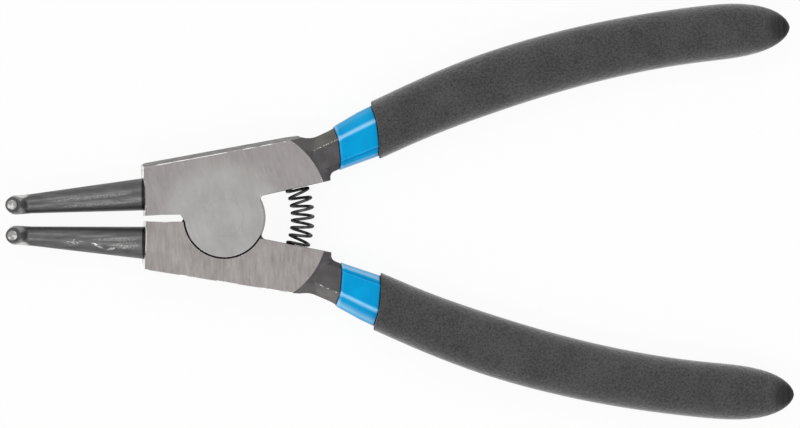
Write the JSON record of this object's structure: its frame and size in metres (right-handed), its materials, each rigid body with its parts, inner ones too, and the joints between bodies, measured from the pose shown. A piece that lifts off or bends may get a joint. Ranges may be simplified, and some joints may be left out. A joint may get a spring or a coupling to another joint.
{
  "type": "circlip pliers",
  "caption": "External circlip pliers with right-angle tips: lap-jointed levers on a rivet, a return spring and dipped foam grips; squeezing the handles spreads the tip pins.",
  "frame": {"origin": "on the pivot axis, in the back plane of the joint, which the tool lies on", "axes": "+X from the joint along the handles, +Y towards the front lever, +Z out of the front face, the way the tips are bent"},
  "size_m": [0.1786, 0.0944, 0.017],
  "materials": {
    "ground_steel": "flat ground faces on a dark drop forging",
    "tip_steel": "blackened round rod with drawn streaks",
    "rivet_steel": "ground flush with the joint",
    "spring_steel": "blackened spring wire",
    "blue_dip": "glossy thin vinyl dip",
    "foam_dip": "matt fine-foamed vinyl dip"
  },
  "bodies": {
    "rear_body": {"rear_lever": "ground_steel", "rear_tip": "tip_steel", "pivot_rivet": "rivet_steel", "return_spring": "spring_steel", "rear_inner_sleeve": "blue_dip", "rear_grip": "foam_dip"},
    "front_body": {"front_lever": "ground_steel", "front_tip": "tip_steel", "front_inner_sleeve": "blue_dip", "front_grip": "foam_dip"}
  },
  "joints": [
    {"name": "squeeze", "type": "hinge", "parent": "rear_body", "child": "front_body", "pos_m": [0, 0, 0.005], "axis": [0, 0, -1], "range_deg": [-3, 30], "stiffness_Nm_per_rad": 1.2, "deforming": ["return_spring"]}
  ]
}
